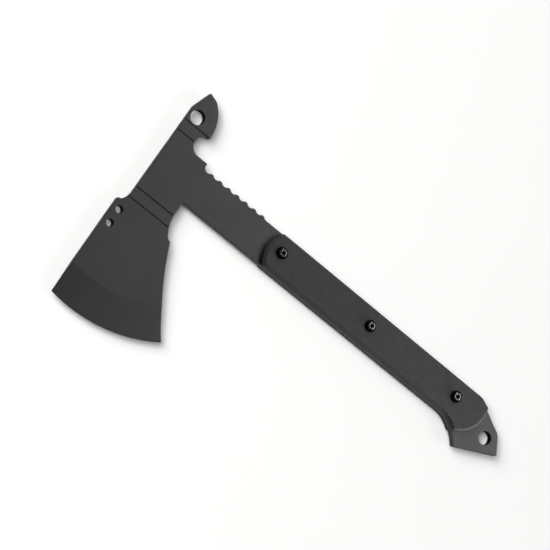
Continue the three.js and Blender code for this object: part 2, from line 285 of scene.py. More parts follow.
def cutting_edge(heel):
    """The edge's arc from the heel to the toe."""
    cx, cy = EDGE_CENTRE
    start = math.degrees(math.atan2(heel[1] - cy, heel[0] - cx))
    toe_y = cy - math.sqrt(EDGE_RADIUS**2 - (TOE_BACK_X - cx) ** 2)
    stop = math.degrees(math.atan2(toe_y - cy, TOE_BACK_X - cx))
    return arc(EDGE_CENTRE, EDGE_RADIUS, start, stop)[1:]


def plate_outline():
    """The plate's closed outline, clockwise from the top of the poll."""
    beard_points = beard()
    notch_y = NOTCH_CENTRE[1]
    horn = (HORN_BACK_X + HORN_RADIUS, HORN_TOP_Y - HORN_RADIUS)
    return [
        (0.0, POLL_TOP_Y),
        BEAK_TIP,
        *bulge(BEAK_SHOULDER, HOOK_BACK, BEAK_SAG),
        (HOOK_BACK[0], notch_y + NOTCH_RADIUS),
        *arc(NOTCH_CENTRE, NOTCH_RADIUS, NOTCH_OPENING, 270),
        *SPUR,
        *jimping(),
        (GRIP_TOP_TAPER_X, NECK_TOP_Y),
        *clip_rounding(),
        *CLIP_CORNER,
        POMMEL_TIP,
        *reversed(cubic(HOOK_CURVE, 40)),
        CROTCH,
        *bulge(CUSP_START, CUSP_LOW, -CUSP_SAG),
        *bulge(TOOTH_ROOT, TOOTH, -TOOTH_SAG),
        *beard_points[1:],
        *cutting_edge(beard_points[-1]),
        *arc(horn, HORN_RADIUS, 180, 85, 0.2),
        *back_fillet(),
    ]


def walk(points, start, length, direction):
    """The point a given length along a closed outline, and how many corners were passed."""
    count = len(points)
    index, passed, left = start, 0, length
    while True:
        here, there = Vector(points[index % count]), Vector(points[(index + direction) % count])
        span = (there - here).length
        if span >= left:
            return here.lerp(there, left / span), passed
        left -= span
        index += direction
        passed += 1


def soften(points, cut=CORNER_CUT, sharper_than=22.0, steps=5, cuts=None):
    """Rounds each sharp corner of a closed outline. cuts gives some corners a cut of their own."""
    cuts = cuts or {}
    count = len(points)
    dropped, rounded = set(), {}
    for i in range(count):
        before, here, after = (Vector(points[k % count]) for k in (i - 1, i, i + 1))
        first, second = here - before, after - here
        if first.length < 1e-6 or second.length < 1e-6:
            continue
        if math.degrees(abs(first.angle_signed(second))) < sharper_than:
            continue
        reach = cuts.get(points[i], cut)
        a, back = walk(points, i, reach, -1)
        b, ahead = walk(points, i, reach, 1)
        dropped.update((i - k) % count for k in range(back + 1))
        dropped.update((i + k) % count for k in range(ahead + 1))
        curve = []
        for t in np.linspace(0, 1, steps + 1):
            curve.append(tuple(a.lerp(here, t).lerp(here.lerp(b, t), t)))
        rounded[i] = curve
    out = []
    for i in range(count):
        if i in rounded:
            out += rounded[i]
        elif i not in dropped:
            out.append(tuple(points[i]))
    return spaced(out)


def spaced(points, smallest=0.02):
    """A closed outline without points that fall on each other."""
    out = [points[0]]
    for p in points[1:]:
        if (Vector(p) - Vector(out[-1])).length > smallest:
            out.append(p)
    if (Vector(out[0]) - Vector(out[-1])).length <= smallest:
        out.pop()
    return out


def filled_in(points, longest=6.0):
    """A closed outline with its long straight sides divided."""
    out = []
    for a, b in zip(points, points[1:] + points[:1]):
        parts = max(1, math.ceil((Vector(b) - Vector(a)).length / longest))
        out += [tuple(Vector(a).lerp(Vector(b), k / parts)) for k in range(parts)]
    return out


def signed_area(points):
    """A closed outline's area, positive when it runs counter-clockwise."""
    p = np.array(points)
    q = np.roll(p, -1, 0)
    return float(np.sum(p[:, 0] * q[:, 1] - q[:, 0] * p[:, 1]) / 2)


def inset(points, widths):
    """A closed outline moved into its material by a width for each point."""
    p = np.array(points, float)
    before, after = np.roll(p, 1, 0), np.roll(p, -1, 0)
    first, second = p - before, after - p
    first /= np.linalg.norm(first, axis=1)[:, None]
    second /= np.linalg.norm(second, axis=1)[:, None]
    turn = 1.0 if signed_area(points) > 0 else -1.0
    normal = turn * (np.c_[-first[:, 1], first[:, 0]] + np.c_[-second[:, 1], second[:, 0]])
    length = np.linalg.norm(normal, axis=1)[:, None]
    normal /= length
    mitre = np.minimum(2 / length, 2.0)
    return p + normal * mitre * np.asarray(widths, float).reshape(-1, 1)


# ---- Mesh helpers ---------------------------------------------------------------------


def triangulate(loops, chains, outer, holes):
    """Triangles of the region inside outer and outside holes, with all the lines as edges."""
    points, edges = [], []
    for closed, lines in ((True, loops), (False, chains)):
        for line in lines:
            first = len(points)
            points += [Vector((float(x), float(y))) for x, y in line]
            last = len(points) - 1
            edges += [(k, k + 1) for k in range(first, last)]
            if closed:
                edges.append((last, first))
    flat, _, triangles, *_ = delaunay_2d_cdt(points, edges, [], 0, 1e-6)
    flat = np.array([tuple(v) for v in flat])
    triangles = np.array([t for t in triangles if len(t) == 3])
    centres = flat[triangles].mean(1)
    keep = inside(centres, outer)
    for hole in holes:
        keep &= ~inside(centres, hole)
    triangles = triangles[keep]
    a, b, c = (flat[triangles[:, k]] for k in range(3))
    area = (b[:, 0] - a[:, 0]) * (c[:, 1] - a[:, 1]) - (b[:, 1] - a[:, 1]) * (c[:, 0] - a[:, 0])
    triangles[area < 0] = triangles[area < 0][:, ::-1]
    used, renumbered = np.unique(triangles, return_inverse=True)
    return flat[used], renumbered.reshape(-1, 3)


def inside(points, polygon):
    """Which points lie inside a polygon."""
    polygon = np.asarray(polygon, float)
    result = np.zeros(len(points), bool)
    x, y = points[:, 0], points[:, 1]
    for (x1, y1), (x2, y2) in zip(polygon, np.roll(polygon, -1, 0)):
        if y1 == y2:
            continue
        crosses = (y1 > y) != (y2 > y)
        result ^= crosses & (x < (x2 - x1) * (y - y1) / (y2 - y1) + x1)
    return result


def distance_to(points, polygon):
    """Each point's distance to a polygon's outline."""
    polygon = np.asarray(polygon, float)
    best = np.full(len(points), np.inf)
    for a, b in zip(polygon, np.roll(polygon, -1, 0)):
        side = b - a
        share = np.clip(((points - a) @ side) / max(side @ side, 1e-12), 0, 1)
        best = np.minimum(best, np.hypot(*(points - a - share[:, None] * side).T))
    return best


def boundary(triangles):
    """The edges that only one triangle has, in its direction."""
    seen = {}
    for t in triangles.tolist():
        for a, b in ((t[0], t[1]), (t[1], t[2]), (t[2], t[0])):
            if (b, a) in seen:
                del seen[(b, a)]
            else:
                seen[(a, b)] = True
    return list(seen)


def bands(first, around, levels):
    """Quads between rings of points that follow each other, counted from a first point."""
    faces = []
    for level in range(levels - 1):
        for k in range(around):
            a = first + level * around + k
            b = first + level * around + (k + 1) % around
            faces.append((a, b, b + around, a + around))
    return faces


def joined(mesh, within=0.002 * MM):
    """Joins points that fall on each other and dissolves faces without any area."""
    work = bmesh.new()
    work.from_mesh(mesh)
    bmesh.ops.remove_doubles(work, verts=work.verts, dist=within)
    bmesh.ops.dissolve_degenerate(work, dist=within, edges=work.edges)
    loose = [edge for edge in work.edges if not edge.link_faces]
    bmesh.ops.delete(work, geom=loose, context="EDGES")
    work.to_mesh(mesh)
    work.free()


def make_piece(name, points, faces, material, crease=35.0, marked=None):
    """A finished object from drawing points in millimetres, riding on the root body.

    marked is the name of an attribute and its value for each point.
    """
    mesh = bpy.data.meshes.new(name)
    world = [tuple(ORIGIN + Vector(p) * MM) for p in points]
    mesh.from_pydata(world, [], faces)
    if marked:
        attribute = mesh.attributes.new(marked[0], "FLOAT", "POINT")
        attribute.data.foreach_set("value", np.asarray(marked[1], np.float32))
    joined(mesh)
    mesh.validate()
    mesh.shade_smooth()
    mesh.set_sharp_from_angle(angle=math.radians(crease))
    mesh.materials.append(material)
    piece = bpy.data.objects.new(name, mesh)
    bpy.context.scene.collection.objects.link(piece)
    weighted = piece.modifiers.new("weighted_normals", "WEIGHTED_NORMAL")
    weighted.keep_sharp = True
    weighted.weight = 90
    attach(piece, "root")
    return piece


# ---- Material nodes -------------------------------------------------------------------


class Nodes:
    """Short calls for building one material's node tree."""

    def __init__(self, name):
        self.material = bpy.data.materials.new(name)
        self.material.use_nodes = True
        self.tree = self.material.node_tree
        self.shader = self.tree.nodes["Principled BSDF"]
        self.coordinates = self.add("ShaderNodeTexCoord").outputs["Object"]

    def add(self, kind, **settings):
        """A new node with some of its properties set."""
        node = self.tree.nodes.new(kind)
        for key, value in settings.items():
            setattr(node, key, value)
        return node

    def link(self, source, target):
        """Joins an output to an input."""
        self.tree.links.new(source, target)

    def noise(self, scale, detail=3.0, roughness=0.55, vector=None):
        """Cloudy noise from 0 to 1. scale is in features per metre."""
        node = self.add("ShaderNodeTexNoise")
        node.inputs["Scale"].default_value = scale
        node.inputs["Detail"].default_value = detail
        node.inputs["Roughness"].default_value = roughness
        self.link(vector or self.coordinates, node.inputs["Vector"])
        return node.outputs["Fac"]

    def stripes(self, axis, scale, distortion, detail=2.0, detail_scale=1.0):
        """Wavering bands across one axis, from 0 to 1."""
        node = self.add("ShaderNodeTexWave", wave_type="BANDS", wave_profile="SIN")
        node.bands_direction = axis
        node.inputs["Scale"].default_value = scale
        node.inputs["Distortion"].default_value = distortion
        node.inputs["Detail"].default_value = detail
        node.inputs["Detail Scale"].default_value = detail_scale
        self.link(self.coordinates, node.inputs["Vector"])
        return node.outputs["Fac"]

    def stretched(self, factors):
        """The object's coordinates, each multiplied by its own factor."""
        node = self.add("ShaderNodeMapping")
        node.inputs["Scale"].default_value = factors
        self.link(self.coordinates, node.inputs["Vector"])
        return node.outputs["Vector"]

    def remap(self, value, low, high, new_low, new_high):
        """A value moved from one range to another and kept inside it."""
        node = self.add("ShaderNodeMapRange")
        ends = {"From Min": low, "From Max": high, "To Min": new_low, "To Max": new_high}
        for key, number in ends.items():
            node.inputs[key].default_value = number
        self.link(value, node.inputs["Value"])
        return node.outputs["Result"]

    def maths(self, operation, a, b=None):
        """One operation on sockets or plain numbers."""
        node = self.add("ShaderNodeMath", operation=operation)
        for slot, value in zip(node.inputs, (a, b)):
            if isinstance(value, (int, float)):
                slot.default_value = value
            elif value is not None:
                self.link(value, slot)
        return node.outputs[0]

    def blend(self, factor, a, b):
        """A mix of two colours, each a socket or three levels."""
        node = self.add("ShaderNodeMix", data_type="RGBA")
        self.link(factor, node.inputs["Factor"])
        for key, value in (("A", a), ("B", b)):
            slot = [s for s in node.inputs if s.name == key and s.type == "RGBA"][0]
            if isinstance(value, tuple):
                slot.default_value = (*value, 1)
            else:
                self.link(value, slot)
        return [s for s in node.outputs if s.type == "RGBA"][0]

    def attribute(self, name):
        """A value that the mesh carries for each of its points."""
        return self.add("ShaderNodeAttribute", attribute_name=name).outputs["Fac"]

    def bump(self, height, distance, strength, normal=None):
        """A normal tilted by a height pattern, on top of another one if given."""
        node = self.add("ShaderNodeBump")
        node.inputs["Distance"].default_value = distance
        node.inputs["Strength"].default_value = strength
        self.link(height, node.inputs["Height"])
        if normal:
            self.link(normal, node.inputs["Normal"])
        return node.outputs["Normal"]

    def set(self, **values):
        """Plain numbers for the shader's inputs."""
        for key, value in values.items():
            name = key.replace("_", " ")
            self.shader.inputs[name].default_value = value

    def drive(self, socket, source):
        """Feeds one of the shader's inputs from a socket."""
        self.link(source, self.shader.inputs[socket])


def coated_steel():
    """Satin black powder coat: a fine orange peel with faint clouding and lighter, rubbed edges."""
    n = Nodes("coated_steel")
    clouds = n.noise(28.0, detail=4.0)
    grain = n.noise(2600.0, detail=2.0)
    cloud_share = n.remap(clouds, 0.35, 0.65, 0.0, 1.0)
    colour = n.blend(cloud_share, (0.0185, 0.0188, 0.0195), (0.0235, 0.0238, 0.0242))
    specks = n.remap(n.noise(4200.0, detail=1.0), 0.66, 0.74, 0.0, 0.35)
    colour = n.blend(specks, colour, (0.06, 0.06, 0.062))
    patches = n.remap(n.noise(180.0), 0.35, 0.65, 0.1, 1.0)
    rubbed = n.maths("MULTIPLY", n.attribute("edge_wear"), patches)
    colour = n.blend(n.maths("MULTIPLY", rubbed, 0.5), colour, (0.075, 0.075, 0.077))
    n.drive("Base Color", colour)
    n.drive("Roughness", n.remap(n.noise(90.0, detail=5.0), 0.3, 0.7, 0.5, 0.6))
    peel = n.bump(n.noise(1500.0, detail=1.5), 0.00004, 0.5)
    n.drive("Normal", n.bump(grain, 0.00002, 0.45, peel))
    n.set(Metallic=0.0, IOR=1.5, Specular_IOR_Level=0.5)
    return n.material


def painted_bore_shade():
    """Painted shade: a dull, weakly reflecting finish on the hole walls, standing in for the shade
    down inside the holes.
    """
    n = Nodes("painted_bore_shade")
    n.drive("Base Color", n.blend(n.noise(900.0), (0.022, 0.022, 0.022), (0.034, 0.034, 0.034)))
    n.drive("Roughness", n.remap(n.noise(1400.0), 0.3, 0.7, 0.75, 0.9))
    n.drive("Normal", n.bump(n.noise(2600.0), 0.00002, 0.4))
    n.set(Metallic=0.0, IOR=1.12, Specular_IOR_Level=0.3)
    return n.material


def grip_laminate():
    """Machined glass laminate: a close cross weave, ply lines on the cut edges, a dull sheen."""
    n = Nodes("grip_laminate")
    threads = [n.stripes(axis, 520.0, 1.2, detail=1.0, detail_scale=0.6) for axis in ("X", "Y")]
    weave = n.maths("MULTIPLY", threads[0], threads[1])
    ply_line = n.remap(n.stripes("Z", 700.0, 0.8), 0.3, 1.0, 0.0, 0.3)
    base = n.blend(n.noise(60.0, detail=5.0), (0.0148, 0.0151, 0.0160), (0.0195, 0.0198, 0.0207))
    base = n.blend(n.remap(weave, 0.2, 0.9, 0.0, 0.4), base, (0.030, 0.0303, 0.0313))
    cut = n.attribute("cut_edge")
    base = n.blend(n.maths("MULTIPLY", cut, ply_line), base, (0.04, 0.04, 0.0415))
    n.drive("Base Color", base)
    n.drive("Roughness", n.remap(n.noise(240.0, detail=4.0), 0.3, 0.7, 0.62, 0.78))
    fine = n.bump(weave, 0.00003, 0.6)
    scratches = n.noise(900.0, detail=3.0, vector=n.stretched((0.08, 1.0, 1.0)))
    n.drive("Normal", n.bump(scratches, 0.00002, 0.4, fine))
    n.set(Metallic=0.0, IOR=1.5, Specular_IOR_Level=0.27)
    return n.material


def black_oxide():
    """Polished black oxide on the screws, with faint turning marks."""
    n = Nodes("black_oxide")
    tint = n.noise(700.0, detail=3.0)
    n.drive("Base Color", n.blend(tint, (0.003, 0.003, 0.003), (0.007, 0.007, 0.008)))
    n.drive("Roughness", n.remap(n.noise(1400.0, detail=3.0), 0.3, 0.7, 0.14, 0.22))
    n.drive("Normal", n.bump(n.noise(2400.0, detail=2.0), 0.00001, 0.25))
    n.set(Metallic=0.0, IOR=1.5, Specular_IOR_Level=0.95)
    return n.material


def painted_screw_shade():
    """Painted shade: matt black for the screws' sockets and the outer band of their domes, standing
    in for shade in the socket and dark reflections on the dome's sides.
    """
    n = Nodes("painted_screw_shade")
    n.drive("Base Color", n.blend(n.noise(900.0), (0.0012, 0.0012, 0.0012), (0.003, 0.003, 0.003)))
    n.drive("Roughness", n.remap(n.noise(1400.0), 0.3, 0.7, 0.6, 0.8))
    n.drive("Normal", n.bump(n.noise(2600.0), 0.00002, 0.4))
    n.set(Metallic=0.0, IOR=1.15, Specular_IOR_Level=0.3)
    return n.material


def turned_steel():
    """Plain turned steel for the hidden sleeves."""
    n = Nodes("turned_steel")
    rings = n.noise(900.0, detail=2.0, vector=n.stretched((0.1, 0.1, 4.0)))
    n.drive("Base Color", n.blend(rings, (0.36, 0.36, 0.37), (0.5, 0.5, 0.51)))
    n.drive("Roughness", n.remap(rings, 0.3, 0.7, 0.25, 0.42))
    n.drive("Normal", n.bump(rings, 0.00002, 0.4))
    n.set(Metallic=1.0)
    return n.material


def pale_paper():
    """The matt white floor."""
    n = Nodes("pale_paper")
    n.drive("Base Color", n.blend(n.noise(6.0), (0.86, 0.86, 0.86), (0.88, 0.88, 0.88)))
    n.drive("Roughness", n.remap(n.noise(300.0), 0.3, 0.7, 0.9, 1.0))
    n.set(Specular_IOR_Level=0.1)
    return n.material


STEEL = coated_steel()
# Painted shade for the walls of the plate's holes.
BORE_SHADE = painted_bore_shade()
LAMINATE = grip_laminate()
OXIDE = black_oxide()
SCREW_SHADE = painted_screw_shade()
SLEEVE_STEEL = turned_steel()

# ---- Steel plate ----------------------------------------------------------------------

# Where the rings of an edge rounding lie, as shares of its width.
ROUNDING_FRACTIONS = (0.0, 0.134, 0.5, 1.0)
RIM_STEP = 0.35
# The painted bore shade starts this far under the plate's face and reaches this far past the
# rounding.
BORE_SHADE_DROP = 0.1
BORE_SHADE_REACH = 0.02


def face_height(points):
    """Half the plate's thickness at each point, before its edges are rounded."""
    reach = np.hypot(points[:, 0] - EDGE_CENTRE[0], points[:, 1] - EDGE_CENTRE[1])
    slope = (HALF_PLATE - EDGE_LAND / 2) / GRIND_WIDTH
    past = np.clip(reach - (EDGE_RADIUS - GRIND_WIDTH), -GRIND_SOFTNESS, None)
    soft = (past + GRIND_SOFTNESS) ** 2 / (4 * GRIND_SOFTNESS)
    fall = np.where(past < GRIND_SOFTNESS, soft, past) * slope
    fall[points[:, 1] > HORN_TOP_Y] = 0
    height = np.maximum(HALF_PLATE - fall, EDGE_LAND / 2)
    in_head = points[:, 0] < GROOVE_REACH_X[1]
    for y, wide in GROOVES:
        off = np.abs(points[:, 1] - y)
        share = (wide / 2 - off) / (wide / 2 * (1 - GROOVE_FLOOR_SHARE))
        height -= np.where(in_head, np.clip(share, 0, 1) * GROOVE_DEPTH, 0)
    return height


def edge_width(points):
    """How wide the edge rounding is at each point."""
    return np.minimum(PLATE_EDGE, PLATE_EDGE_SHARE * face_height(np.asarray(points, float)))


def plate_lines():
    """Open lines that the surface bends along: groove sides and the grind line."""
    lines = []
    x1, x2 = GROOVE_REACH_X
    for y, wide in GROOVES:
        for off in (wide / 2, wide / 2 * GROOVE_FLOOR_SHARE):
            lines.append([(x1, y - off), (x2, y - off)])
            lines.append([(x1, y + off), (x2, y + off)])
    grind_radius = EDGE_RADIUS - GRIND_WIDTH
    for off in (-GRIND_SOFTNESS, -GRIND_SOFTNESS / 2, 0, GRIND_SOFTNESS / 2, GRIND_SOFTNESS):
        lines.append(arc(EDGE_CENTRE, grind_radius + off, *GRIND_SWEEP))
    for share in (0.25, 0.5, 0.75):
        lines.append(arc(EDGE_CENTRE, grind_radius + share * GRIND_WIDTH, *GRIND_SWEEP, 2.0))
    return lines


def circle(centre, radius, step):
    """A closed ring of points."""
    return arc(centre, radius, 0, 360, step)[:-1]


def paint_bore_shade(plate, holes):
    """Paints shade onto the walls of the plate's holes with the duller, weakly reflecting finish.
    """
    plate.data.materials.append(BORE_SHADE)
    for face in plate.data.polygons:
        centre = (face.center - ORIGIN) / MM
        if centre.z < HALF_PLATE - BORE_SHADE_DROP:
            reach = [math.hypot(centre.x - x, centre.y - y) - r for x, y, r in holes]
            face.material_index = int(min(reach) < PLATE_EDGE + BORE_SHADE_REACH)


def steel_plate():
    """The plate: one face and its mirror image, joined by the upright wall between them."""
    outer = filled_in(soften(plate_outline(), cuts=SMALL_CUTS))
    holes = [BEAK_HOLE, LANYARD_HOLE, *BLADE_HOLES]
    holes += [(*screw_centre(place), SLEEVE_HOLE_RADIUS) for place in SCREW_PLACES]
    rims = [circle((x, y), radius, RIM_STEP) for x, y, radius in holes]
    loops = [inset(outer, edge_width(outer) * share) for share in ROUNDING_FRACTIONS]
    for x, y, radius in holes:
        for share in ROUNDING_FRACTIONS:
            loops.append(circle((x, y), radius + PLATE_EDGE * share, RIM_STEP))
    flat, triangles = triangulate(loops, plate_lines(), outer, rims)
    near = distance_to(flat, outer)
    for rim in rims:
        near = np.minimum(near, distance_to(flat, rim))
    width = edge_width(flat)
    share = np.clip(1 - near / width, 0, 1)
    drop = width * (1 - np.sqrt(1 - share**2))
    top = np.c_[flat, face_height(flat) - drop]
    points = np.vstack([top, top * (1, 1, -1)])
    count = len(flat)
    faces = [tuple(t) for t in triangles.tolist()]
    faces += [(c + count, b + count, a + count) for a, b, c in triangles.tolist()]
    faces += [(b, a, a + count, b + count) for a, b in boundary(triangles)]
    wear = np.clip(share * 1.3, 0, 1)
    marked = ("edge_wear", np.r_[wear, wear])
    plate = make_piece("hatchet_plate", points, faces, STEEL, marked=marked)
    # Painted shade inside the holes.
    paint_bore_shade(plate, holes)
    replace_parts(plate, "steel_plate")


# ---- Grip scales ----------------------------------------------------------------------


def crossing(points, centre, radius):
    """The start of a polyline as far as it lies inside a circle, ending on the circle."""
    centre = Vector(centre)
    kept = [points[0]]
    for p in points[1:]:
        reach = (Vector(p) - centre).length
        if reach > radius:
            last = Vector(kept[-1])
            within = (last - centre).length
            kept.append(tuple(last.lerp(Vector(p), (radius - within) / (reach - within))))
            break
        kept.append(p)
    return kept


def scale_outline():
    """A scale's outline, counter-clockwise from its upper front corner."""
    front_y = SCALE_FRONT_CENTRE[1]
    front_top = math.degrees(math.asin((NECK_TOP_Y - front_y) / SCALE_FRONT_RADIUS))
    front_bottom = math.degrees(math.asin((front_y - GRIP_BOTTOM_Y) / SCALE_FRONT_RADIUS))
    hook = crossing(cubic(HOOK_CURVE, 60), SCALE_REAR_CENTRE, SCALE_REAR_RADIUS)
    clip_side = clip_rounding()
    straight = [clip_side[-1], CLIP_END]
    clipped = crossing(straight, SCALE_REAR_CENTRE, SCALE_REAR_RADIUS)
    rear_x, rear_y = SCALE_REAR_CENTRE
    start = math.degrees(math.atan2(hook[-1][1] - rear_y, hook[-1][0] - rear_x))
    stop = math.degrees(math.atan2(clipped[-1][1] - rear_y, clipped[-1][0] - rear_x))
    return [
        *arc(SCALE_FRONT_CENTRE, SCALE_FRONT_RADIUS, 180 - front_top, 180 + front_bottom),
        *hook,
        *arc(SCALE_REAR_CENTRE, SCALE_REAR_RADIUS, start, stop)[1:],
        *clip_side[::-1],
        (GRIP_TOP_TAPER_X + 1, NECK_TOP_Y),
    ]


def chamfer_widths(points):
    """The chamfer's width at each point: wide on the front end, narrowing towards the rear."""
    x = np.array(points)[:, 0]
    side_x = (SCALE_FRONT_CENTRE[0] - SCALE_FRONT_RADIUS, SCALE_REAR_CENTRE[0])
    widths = np.interp(x, side_x, SCALE_CHAMFER_SIDE)
    front = np.interp(x, SCALE_FRONT_BLEND_X, (1, 0))
    rear = np.interp(x, SCALE_REAR_BLEND_X, (0, 1))
    widths += (SCALE_CHAMFER_FRONT - widths) * front
    widths += (SCALE_CHAMFER_REAR - widths) * rear
    return widths


# Each step in from the wall: share of the chamfer's width, share of its drop.
CHAMFER_PROFILE = (
    (0.0, -0.12),
    (0.015, -0.03),
    (0.07, 0.07),
    (0.5, 0.5),
    (0.9, 0.9),
    (0.97, 0.958),
    (1.07, 0.99),
    (1.2, 1.0),
)


def scale_rings(outline):
    """Rings from the scale's inner face up its wall and over the chamfer to its outer face."""
    count = len(outline)
    shoulder = SCALE_OUTER_Z - SCALE_CHAMFER_DROP
    widths = chamfer_widths(outline)
    eased = inset(outline, np.full(count, SCALE_INNER_EASE))
    rings = [np.c_[eased, np.full(count, SCALE_INNER_Z)]]
    rings.append(np.c_[np.array(outline), np.full(count, SCALE_INNER_Z + SCALE_INNER_EASE)])
    for across, up in CHAMFER_PROFILE:
        z = shoulder + SCALE_CHAMFER_DROP * up
        rings.append(np.c_[inset(outline, widths * across), np.full(count, z)])
    return rings


def add_flat_face(points, faces, ring, holes, z, up):
    """Adds a flat face with holes. up is 1 when it looks up and -1 when it looks down."""
    flat, triangles = triangulate([ring[:, :2], *holes], [], ring[:, :2], holes)
    faces += [tuple((t + len(points))[::up]) for t in triangles]
    return np.vstack([points, np.c_[flat, np.full(len(flat), z)]])


def add_stepped_bore(points, faces, upper, lower):
    """Adds the wall of a screw hole that widens for the sleeve."""
    steps = (
        (upper, SCALE_OUTER_Z),
        (upper, SLEEVE_SEAT_Z),
        (lower, SLEEVE_SEAT_Z),
        (lower, SCALE_INNER_Z),
    )
    around = len(upper)
    faces += [quad[::-1] for quad in bands(len(points), around, len(steps))]
    return np.vstack([points, *(np.c_[np.array(loop), np.full(around, z)] for loop, z in steps)])


def grip_scale(name, side):
    """One scale. side is 1 for the front of the plate and -1 for the back."""
    outline = filled_in(soften(scale_outline(), cut=SCALE_CORNER_CUT), longest=4.0)
    rings = scale_rings(outline)
    points = np.vstack(rings)
    faces = bands(0, len(outline), len(rings))
    wall_points = (len(rings) - 2) * len(outline)

    step = BORE_STEP / SHANK_HOLE_RADIUS
    centres = [screw_centre(place) for place in SCREW_PLACES]
    shank_holes = [circle(c, SHANK_HOLE_RADIUS, step * SHANK_HOLE_RADIUS) for c in centres]
    sleeve_holes = [circle(c, SLEEVE_HOLE_RADIUS, step * SLEEVE_HOLE_RADIUS) for c in centres]
    points = add_flat_face(points, faces, rings[-1], shank_holes, SCALE_OUTER_Z, 1)
    points = add_flat_face(points, faces, rings[0], sleeve_holes, SCALE_INNER_Z, -1)
    for upper, lower in zip(shank_holes, sleeve_holes):
        points = add_stepped_bore(points, faces, upper, lower)

    cut = np.zeros(len(points))
    cut[:wall_points] = 1.0
    if side < 0:
        points = points * (1, 1, -1)
        faces = [face[::-1] for face in faces]
    marked = ("cut_edge", cut)
    return make_piece(name, points, faces, LAMINATE, crease=50.0, marked=marked)


# ---- Screws ---------------------------------------------------------------------------

SCREW_ANGLES = np.linspace(0, 2 * math.pi, 72, endpoint=False)
# The head's upright skirt, each ring as [distance in from the rim, height over the seat].
HEAD_SKIRT = ((0.13, 0.0), (0.04, 0.04), (0.0, 0.13), (0.0, 0.42))
# The socket's wall, each ring as [distance out from its lobes, height from the head's top].
SOCKET_WALL = ((0.08, 0.0), (0.02, -0.03), (0.0, -0.1), (0.0, -0.9), (0.0, -SOCKET_DEPTH + 0.08))
# The socket's floor, each ring as [share of its lobes, height from the head's top].
SOCKET_FLOOR = ((0.94, -SOCKET_DEPTH), (0.35, -SOCKET_DEPTH - 0.25))
SOCKET_CENTRE_DROP = 0.12
# The painted matt black shade and dark reflection: how far down the socket it starts, how wide it
# looks for the socket's walls, and how far inside the head's rim it ends.
SOCKET_BLACK_DROP = 0.12
SOCKET_BLACK_RADIUS = 2.25
DOME_BLACK_MARGIN = 0.05


def shank_rings():
    """Rings of the screw's point, thread and plain neck, each as [radii, height]."""
    even = np.ones(len(SCREW_ANGLES))
    neck = HEAD_SEAT_Z - SHANK_NECK_LENGTH
    start_radius, end_radius = SHANK_POINT_RADII
    rings = [
        (even * start_radius, SHANK_REACH_Z),
        (even * end_radius, SHANK_REACH_Z + SHANK_POINT_LENGTH),
    ]
    thread_start = SHANK_REACH_Z + SHANK_POINT_LENGTH + THREAD_MARGIN
    for z in np.arange(thread_start, neck - THREAD_MARGIN, THREAD_PITCH / 6):
        phase = (z / THREAD_PITCH - SCREW_ANGLES / (2 * math.pi)) % 1.0
        rings.append((SHANK_RADIUS - THREAD_DEPTH * np.abs(2 * phase - 1), z))
    return rings + [(even * SHANK_RADIUS, neck), (even * SHANK_RADIUS, HEAD_SEAT_Z)]


def head_rings():
    """Rings from under the head over the dome and down into the socket."""
    even = np.ones(len(SCREW_ANGLES))
    rise = HEAD_TOP_Z - HEAD_SEAT_Z - HEAD_RIM
    drop = (HEAD_RADIUS**2 - HEAD_FLAT_RADIUS**2 - rise**2) / (2 * rise)
    dome = math.hypot(HEAD_RADIUS, drop)
    rings = [(even * (HEAD_RADIUS - back), HEAD_SEAT_Z + z) for back, z in HEAD_SKIRT]
    first, last = math.asin(HEAD_RADIUS / dome), math.asin(HEAD_FLAT_RADIUS / dome)
    for angle in np.linspace(first, last, 12):
        z = HEAD_SEAT_Z + HEAD_RIM - drop + dome * math.cos(angle)
        rings.append((even * dome * math.sin(angle), z))
    lobes = SOCKET_MEAN_RADIUS + SOCKET_LOBE * np.cos(6 * SCREW_ANGLES)
    rings += [(lobes + wider, HEAD_TOP_Z + z) for wider, z in SOCKET_WALL]
    rings += [(lobes * share, HEAD_TOP_Z + z) for share, z in SOCKET_FLOOR]
    return rings


def paint_screw_shade(piece, centre):
    """Paints matt black shade into a screw's socket and a dark reflection onto the outer part of
    its dome.
    """
    piece.data.materials.append(SCREW_SHADE)
    for face in piece.data.polygons:
        at = (face.center - ORIGIN) / MM
        reach = math.hypot(at.x - centre[0], at.y - centre[1])
        sunk = HEAD_SEAT_Z < abs(at.z) < HEAD_TOP_Z - SOCKET_BLACK_DROP
        in_socket = sunk and reach < SOCKET_BLACK_RADIUS
        on_dome = DOME_SHADE_INNER_RADIUS < reach < HEAD_RADIUS - DOME_BLACK_MARGIN
        face.material_index = int(in_socket or on_dome)


def screw(place, side):
    """A button-head screw with its thread. side is 1 for the front and -1 for the back."""
    cx, cy = screw_centre(place)
    rings = shank_rings() + head_rings()
    turned = SCREW_ANGLES + SCREW_TURN * place
    around = len(turned)
    points = []
    for radii, z in rings:
        for angle, radius in zip(turned, radii):
            points.append((cx + radius * math.cos(angle), cy + radius * math.sin(angle), z * side))
    faces = bands(0, around, len(rings))
    last = len(points) - around
    point_centre, socket_centre = len(points), len(points) + 1
    points.append((cx, cy, rings[0][1] * side))
    points.append((cx, cy, (rings[-1][1] - SOCKET_CENTRE_DROP) * side))
    for k in range(around):
        faces.append((k, point_centre, (k + 1) % around))
        faces.append((last + k, last + (k + 1) % around, socket_centre))
    if side < 0:
        faces = [face[::-1] for face in faces]
    where = "front" if side > 0 else "back"
    name = f"{where}_button_screw_{place}"
    piece = make_piece(name, points, faces, OXIDE, crease=40.0)
    # Painted shade in the socket and a painted dark reflection on the dome's outer band.
    paint_screw_shade(piece, (cx, cy))
    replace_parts(piece, f"{where}_screw_{place}")


# ---- The hatchet ----------------------------------------------------------------------

